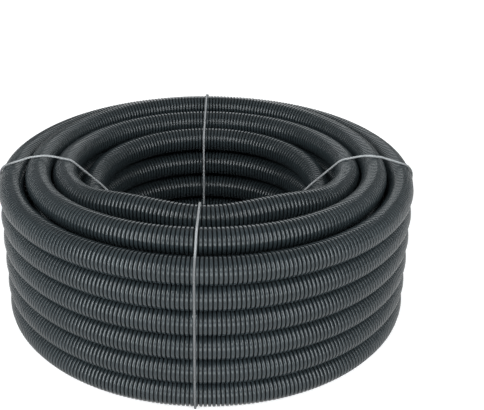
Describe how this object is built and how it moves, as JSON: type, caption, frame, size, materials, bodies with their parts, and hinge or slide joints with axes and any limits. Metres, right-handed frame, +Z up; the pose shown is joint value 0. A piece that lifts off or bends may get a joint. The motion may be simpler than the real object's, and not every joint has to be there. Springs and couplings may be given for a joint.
{
  "type": "corrugated conduit coil",
  "caption": "Coil of black corrugated polyethylene cable conduit, standing on its end, with open cut ends, a draw wire inside and cord ties round the winding.",
  "frame": {"origin": "on the floor below the middle of the coil's eye", "axes": "+Z up along the coil's axis; -Y is the side that the picture shows; the outer end leaves at the back, towards -X"},
  "size_m": [0.8384, 0.8386, 0.3298],
  "materials": {
    "black_polyethylene": "satin black extruded polyethylene, ribbed across the pipe",
    "tie_cord": "light grey twisted polypropylene cord",
    "draw_wire": "pale plain draw wire"
  },
  "bodies": {
    "root": {"conduit": "black_polyethylene", "tie_front": "tie_cord", "tie_right": "tie_cord", "tie_back": "tie_cord", "tie_left": "tie_cord", "draw_wire_outer": "draw_wire", "draw_wire_inner": "draw_wire"}
  },
  "joints": []
}
